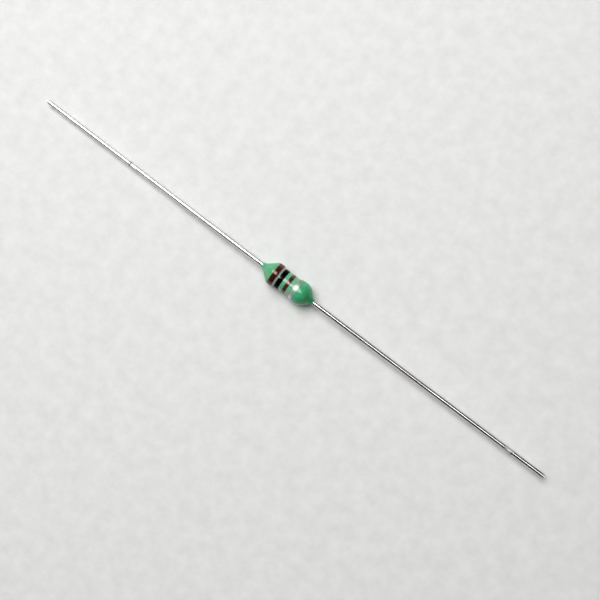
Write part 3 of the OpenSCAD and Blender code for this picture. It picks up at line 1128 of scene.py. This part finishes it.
# %% Make the leads
LEADS = {
    "wire_lead_left": dict(
        node="lead_left", turned_round=True, exit_at=LEFT_EXIT, length=28.7 * MM,
        before=((2.0, DOWN), (0.2, SIDEWAYS)), rise=1.1, mark_at=11.5 * MM, mark_l=1.1 * MM),
    "wire_lead_right": dict(
        node="lead_right", turned_round=False, exit_at=RIGHT_EXIT, length=28.5 * MM,
        before=((0.6, DOWN),), rise=1.2, mark_at=4.1 * MM, mark_l=1.1 * MM),
}
LEAD_SIDES = 48


def lead_rows(turned_round, exit_at, length, before, rise, mark_at, mark_l, **_):
    """The path of one lead. The mark's place is measured from the lead's tip.

    before holds the bends at the exit as (degrees, heading), and rise is the one at the mark.
    """
    walker = Walker(turned_round)
    walker.straight(exit_at + BEND_AT - LEAD_INNER_END)
    for degrees, heading in before:
        walker.bend(degrees, heading)
    bends = BEND_R * math.radians(sum(degrees for degrees, _ in before) + rise)
    walker.straight(length - BEND_AT - bends - mark_at - mark_l / 2)
    walker.jaw_mark(mark_l)
    walker.bend(rise, UP)
    walker.cut_off(mark_at - mark_l / 2)
    return walker.rows


leads = {}
for name, facts in LEADS.items():
    leads[name] = make_piece(name, path_mesh(name + " path", lead_rows(**facts)), WIRE,
                             {"Sides": LEAD_SIDES, "Radius": LEAD_R,
                              "Material": MATERIALS["tin"]})

# %% [markdown]
# ## The winding
#
# The winding is sealed inside the resin, but the part is only whole if it is there. The outer
# layer is one helix. A Screw modifier could turn it, but the tree for wire is at hand, so the
# helix is one more path. The layers below it are hidden by it, so one smooth sleeve stands
# for them. At each end the wire leaves through a slot in the flange, runs down its face and
# wraps around the lead.

# %% Outer layer of the coil
THIN_R = 0.04 * MM
TURNS = 30
TURN_PITCH = 0.09 * MM
STEPS_A_TURN = 48


def helix_rows():
    """The path of the outer layer, from the left flange to the right one."""
    radius = COIL_R - THIN_R
    steps = TURNS * STEPS_A_TURN
    rows = []
    for i in range(steps + 1):
        angle = math.tau * i / STEPS_A_TURN
        x = (i / steps - 0.5) * (TURNS - 1) * TURN_PITCH
        rows.append((x, radius * math.sin(angle), AXIS_H + radius * math.cos(angle), *PLAIN))
    return rows


print(f"wire in the outer layer: {TURNS * math.tau * (COIL_R - THIN_R) / MM:.0f} mm")

# %% Ends of the winding wire
TAIL_R = 0.78 * MM
TAIL_X = 1.95 * MM
TAIL_ROOT = 1.19 * MM
ELBOW_R = 2 * THIN_R
ELBOW_STEPS = 3
WRAP_R = 0.30 * MM
WRAPS = 4
WRAP_PITCH = 0.10 * MM
WRAP_STEPS = 14
WRAP_START = math.acos(WRAP_R / TAIL_R)


def tail_rows(turned_round):
    """One wire end: through the slot, down the flange's face and around the lead."""
    down = Vector((math.sin(WRAP_START), math.cos(WRAP_START), 0))
    top = Vector((-TAIL_R, 0, TAIL_X - ELBOW_R))
    points = [Vector((-TAIL_R, 0, TAIL_ROOT))]
    for i in range(ELBOW_STEPS + 1):
        a = math.radians(90 * i / ELBOW_STEPS)
        points.append(top + ELBOW_R * ((1 - math.cos(a)) * down + Vector((0, 0, math.sin(a)))))
    for i in range(WRAPS * WRAP_STEPS + 1):
        a = WRAP_START + math.tau * i / WRAP_STEPS
        points.append(Vector((-WRAP_R * math.cos(a), WRAP_R * math.sin(a),
                              TAIL_X + WRAP_PITCH * i / WRAP_STEPS)))
    outwards = start_frame(turned_round)
    return [(*(outwards @ p + Vector((0, 0, AXIS_H))), *PLAIN) for p in points]


print("wraps around each lead:", WRAPS)

# %% Make the winding
SPINDLE_R = 0.55 * MM
THIN_SIDES = 8
SLEEVE_STEPS = 96
thin_wire = make_piece(
    "thin_wire", path_mesh("thin wire path", helix_rows(), tail_rows(False), tail_rows(True)),
    WIRE, {"Sides": THIN_SIDES, "Radius": THIN_R, "Material": MATERIALS["copper"]})
sleeve = [(-FLANGE_INNER, SPINDLE_R), (FLANGE_INNER, SPINDLE_R),
          (FLANGE_INNER, COIL_R - THIN_R), (-FLANGE_INNER, COIL_R - THIN_R),
          (-FLANGE_INNER, SPINDLE_R)]
inner_layers = make_piece(
    "inner_layers", section_mesh("sleeve section", [(x, r, 0.0, 0.0) for x, r in sleeve]),
    LATHE, {"Steps": SLEEVE_STEPS, "Material": MATERIALS["copper"]})

# %% [markdown]
# ## Every piece finds its place
#
# Each new piece rides on the part's one body, and the imported node that it stands for
# is hidden.
# The core, the solder and the glue keep the imported shape and only get a finish.


def stands_for(piece, node):
    """Ties a piece to the body and hides the node that it replaces."""
    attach(piece, "root")
    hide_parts(node)


stands_for(resin_coat, "epoxy_coating")
for name, ring in rings.items():
    stands_for(ring, RINGS[name]["node"])
for name, lead in leads.items():
    stands_for(lead, LEADS[name]["node"])
stands_for(thin_wire, "winding")
stands_for(inner_layers, "winding")
print("new pieces:", 3 + len(rings) + len(leads))

# %% A finish for the nodes that stay
KEPT = {"drum_core": "ferrite", "solder_left": "solder", "solder_right": "solder",
        "glue_left": "glue", "glue_right": "glue"}
for node, finish in KEPT.items():
    for material_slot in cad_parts[node].material_slots:
        material_slot.link = "OBJECT"
        material_slot.material = MATERIALS[finish]
print("kept nodes:", ", ".join(KEPT))

# %% [markdown]
# ## White paper
#
# The part lies on a sheet of white paper. Paper is a felt of fibres: seen close it has a faint
# cloudy grain. Real relief would take millions of faces, so one noise clouds the colour and a
# finer one bumps the surface. The sheet runs far past the camera's view, so that its edge
# never shows.

# %% The sheet of paper
PAPER_SIDE = 3.0
PAPER_TONES = ((0.775, 0.775, 0.755), (0.870, 0.870, 0.862))
CLOUD_SIZE = 1.6 * MM
FIBRE_SIZE = 0.25 * MM
FIBRE_DEPTH = 0.02 * MM
FIBRE_STRENGTH = 0.5


def paper_material():
    material, tree, shader = new_material("white paper", Roughness=0.9)
    where = add(tree, "ShaderNodeTexCoord").outputs["Object"]
    clouds = add(tree, "ShaderNodeTexNoise",
                 {"Vector": where, "Scale": 1 / CLOUD_SIZE, "Detail": 6.0, "Roughness": 0.65})
    fibres = add(tree, "ShaderNodeTexNoise",
                 {"Vector": where, "Scale": 1 / FIBRE_SIZE, "Detail": 3.0, "Distortion": 1.5})
    set_colour(tree, shader, two_tone(tree, clouds.outputs["Fac"], PAPER_TONES))
    bump(tree, shader, fibres.outputs["Fac"], FIBRE_DEPTH, FIBRE_STRENGTH)
    return material


def paper_sheet():
    mesh = bpy.data.meshes.new("paper")
    half = PAPER_SIDE / 2
    mesh.from_pydata([(-half, -half, 0), (half, -half, 0), (half, half, 0), (-half, half, 0)],
                     [], [(0, 1, 2, 3)])
    sheet = bpy.data.objects.new("paper", mesh)
    bpy.context.collection.objects.link(sheet)
    mesh.materials.append(paper_material())
    return sheet


paper = paper_sheet()
print("paper side in m:", PAPER_SIDE)

# %% [markdown]
# ## Light
#
# A small glossy thing shows its lamps as highlights, so the lamps are placed for them. One
# round soft box leans to the left and a little to the back: it gives every turned form one
# highlight, and the soft shadow falls to the lower right. The rest of the room is dark but
# for two glows, and the dark parts draw the lines along both sides of the round leads. A glow
# on the left keeps the left lead bright. A small patch overhead, an ellipse in the world,
# gives the right lead its bright middle line. A camera that looks along the paper sees a
# backdrop that goes on from the far paper's grey to a paler one, with no hard horizon.

# %% Soft box
KEY_FROM = Vector((-0.445, 0.25, 1.0)).normalized()
KEY_DISTANCE = 0.23
KEY_SIZE = 0.175
KEY_WATTS = 0.468


def soft_box(name, direction, distance, size, power):
    """A round area light that faces the part and isn't seen itself."""
    data = bpy.data.lights.new(name, "AREA")
    data.shape = "DISK"
    data.size = size
    data.energy = power
    lamp = bpy.data.objects.new(name, data)
    bpy.context.collection.objects.link(lamp)
    lamp.location = direction * distance
    lamp.rotation_euler = direction.to_track_quat("Z", "Y").to_euler()
    lamp.visible_camera = False
    return lamp


key = soft_box("key", KEY_FROM, KEY_DISTANCE, KEY_SIZE, KEY_WATTS)
print("key at", [round(v, 3) for v in key.location], "m")

# %% Glow on the left and patch overhead
GLOW = ((0.40, 0.02), (0.55, 0.05), (0.58, 0.20), (0.66, 0.40), (0.71, 0.55), (0.80, 0.22))
GLOW_FRONT = (-0.50, -0.10)
GLOW_FRONT_SHARE = 0.55
CEILING_AT = (0.08, 0.14)
CEILING_SIZE = (0.25, 0.14)
CEILING_LIGHT = 3.9
CEILING_RIM = (0.7, 1.3)


def grey(value):
    return (value, value, value)


def left_glow(tree, x, y):
    """Light by how far left a ray points: GLOW goes from 0 on the right to 1 on the left.

    Towards the front only GLOW_FRONT_SHARE of it is left.
    """
    leftwards = calc(tree, "MULTIPLY_ADD", x, -0.5, 0.5)
    glow = ramp(tree, leftwards, *[(place, grey(light)) for place, light in GLOW])
    return calc(tree, "MULTIPLY", glow, spread(tree, y, GLOW_FRONT_SHARE, 1.0, *GLOW_FRONT))


def ceiling_patch(tree, x, y):
    """Light inside an ellipse of directions, soft at its rim."""
    out = []
    for place, centre, half in zip((x, y), CEILING_AT, CEILING_SIZE):
        off = calc(tree, "SUBTRACT", place, centre)
        out.append(calc(tree, "POWER", calc(tree, "DIVIDE", off, half), 2.0))
    return spread(tree, calc(tree, "ADD", *out), CEILING_LIGHT, 0.0, *CEILING_RIM)


print("brightest glow on the left:", max(light for _, light in GLOW))
print("patch overhead:", CEILING_LIGHT)

# %% World
BACKDROP = ((0.0, grey(0.21)), (0.10, (0.42, 0.42, 0.415)), (0.40, (0.74, 0.74, 0.73)))


def build_world():
    world = bpy.data.worlds.new("studio")
    world.use_nodes = True
    tree = world.node_tree
    x, y, z = split(tree, add(tree, "ShaderNodeTexCoord").outputs["Generated"])
    sky = calc(tree, "MAXIMUM", left_glow(tree, x, y), ceiling_patch(tree, x, y))
    seen = add(tree, "ShaderNodeLightPath").outputs["Is Camera Ray"]
    backdrop = ramp(tree, z, *BACKDROP)
    tree.links.new(blend(tree, seen, sky, backdrop), tree.nodes["Background"].inputs["Color"])
    bpy.context.scene.world = world


build_world()
print("world:", bpy.context.scene.world.name)

# %% [markdown]
# ## Camera
#
# The camera stands a hand's width above the part and looks almost straight down. It leans a
# little to the right and to the back, and it is turned so that the part lies across the
# view from the upper left to the lower right. The plain Standard view keeps the colours
# as they were mixed. The near clip is set to a few millimetres, because the usual one would
# cut away a scene as small as this.

# %% Camera
DISTANCE = 98.98 * MM
AIM = Vector((1.986, -0.596, 1.0)) * MM
LEAN = Vector((0.0964, 0.05, 1.0)).normalized()
TURN = math.radians(36.85)
VIEW_ANGLE = math.radians(34.1)
NEAR_CLIP = 5 * MM
FAR_CLIP = 10.0
camera_data = bpy.data.cameras.new("camera")
camera_data.angle = VIEW_ANGLE
camera_data.clip_start = NEAR_CLIP
camera_data.clip_end = FAR_CLIP
camera = bpy.data.objects.new("camera", camera_data)
bpy.context.collection.objects.link(camera)
across = Vector((math.cos(TURN), math.sin(TURN), 0))
upwards = LEAN.cross(across).normalized()
camera.location = AIM + LEAN * DISTANCE
camera.rotation_euler = Matrix((upwards.cross(LEAN), upwards, LEAN)).transposed().to_euler()
bpy.context.scene.camera = camera
bpy.context.scene.view_settings.view_transform = "Standard"
print("camera at", [round(v / MM, 1) for v in camera.location], "mm")
